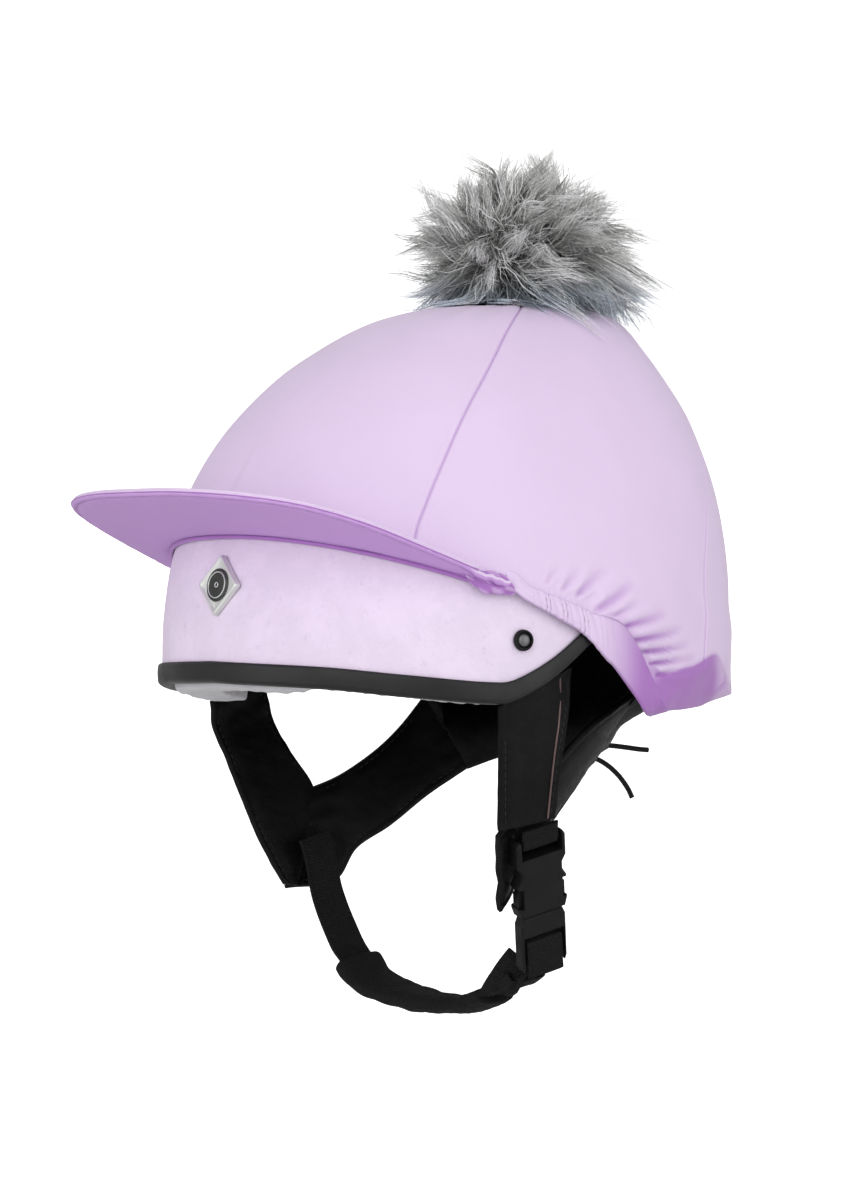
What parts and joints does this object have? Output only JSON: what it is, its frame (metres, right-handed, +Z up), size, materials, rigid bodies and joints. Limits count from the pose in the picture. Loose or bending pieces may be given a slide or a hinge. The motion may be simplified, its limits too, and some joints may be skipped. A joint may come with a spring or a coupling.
{
  "type": "riding skull cap with stretch cover, peak and pompom",
  "caption": "Domed riding skull cap in a lilac stretch cover with a soft peak, fur pompom, leather harness, nape lace and buckled chin strap.",
  "frame": {"origin": "inside of the liner under the crown's top, where a head carries the cap", "axes": "+Z up, -Y towards the peak and the front, +X towards the wearer's left, where the buckle is"},
  "size_m": [0.2241, 0.3096, 0.3888],
  "materials": {
    "silk": "satin stretch knit",
    "suede": "matt suede-like cloth",
    "rubber": "soft sheen",
    "foam": "matt",
    "satin": "satin",
    "leather": "soft grain",
    "webbing": "woven",
    "plastic": "moulded",
    "gunmetal": "domed",
    "silver": "brushed",
    "enamel": "gloss",
    "fur": "long pile fur"
  },
  "bodies": {
    "root": {"crown_cover": "silk", "peak": "silk", "hem_band": "silk", "pompom": "fur", "shell": "suede", "edge_trim": "rubber", "liner": "foam", "head_pad": "satin", "badge_plate": "silver", "badge_enamel": "enamel", "rivet_ring_left": "plastic", "rivet_cap_left": "gunmetal", "rivet_ring_right": "plastic", "rivet_cap_right": "gunmetal", "front_strap_left": "leather", "rear_strap_left": "leather", "front_strap_right": "leather", "rear_strap_right": "leather", "nape_piece": "leather", "chin_web_right": "webbing", "chin_sleeve": "webbing", "chin_web_left": "webbing", "upper_web_left": "webbing", "web_keeper": "webbing", "web_tail": "webbing", "buckle_socket": "plastic", "buckle_tongue": "plastic", "lace_knot": "webbing", "lace_upper": "webbing", "lace_lower": "webbing"}
  },
  "joints": []
}
